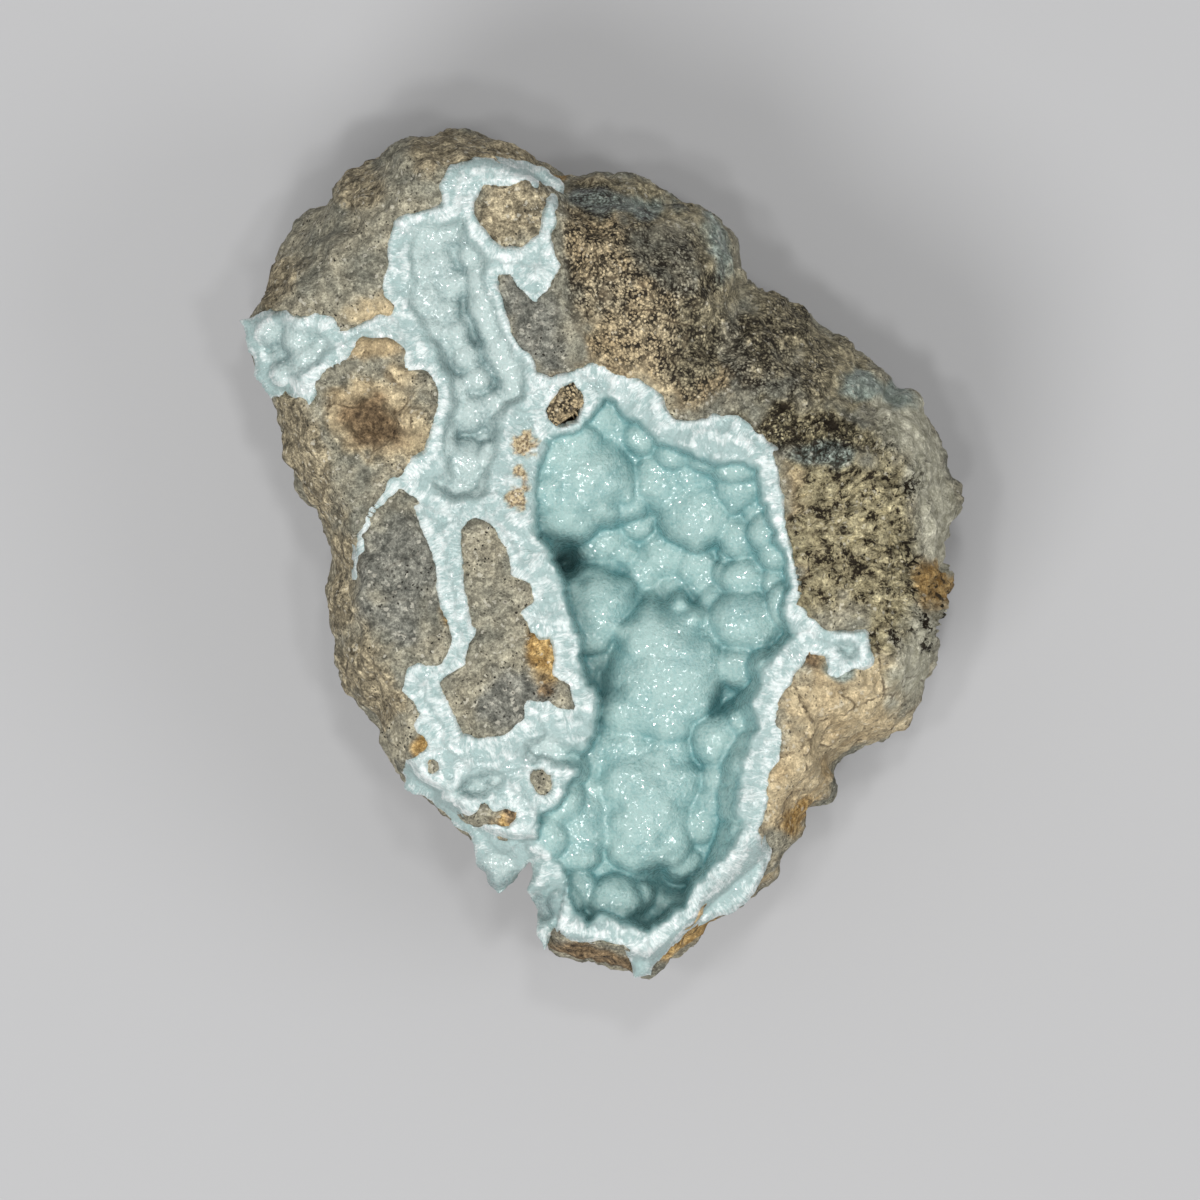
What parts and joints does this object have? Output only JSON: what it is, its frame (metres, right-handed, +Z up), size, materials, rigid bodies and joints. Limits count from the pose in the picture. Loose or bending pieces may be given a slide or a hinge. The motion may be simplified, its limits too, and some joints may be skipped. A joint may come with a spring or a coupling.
{
  "type": "hemimorphite mineral specimen",
  "caption": "Broken lump of grey-brown rock with an open vug lined by pale blue botryoidal hemimorphite crust, lying on its flat back for display.",
  "frame": {"origin": "on the resting plane, under the middle of the specimen's outline", "axes": "+Z up, out of the broken face with the vug; +Y towards the narrow upper end of the face; +X to the right of the face"},
  "size_m": [0.0704, 0.0837, 0.0471],
  "materials": {
    "rock": "matte",
    "crust": "satin"
  },
  "bodies": {
    "root": {"matrix": "rock", "hemimorphite_crust": "crust"}
  },
  "joints": []
}
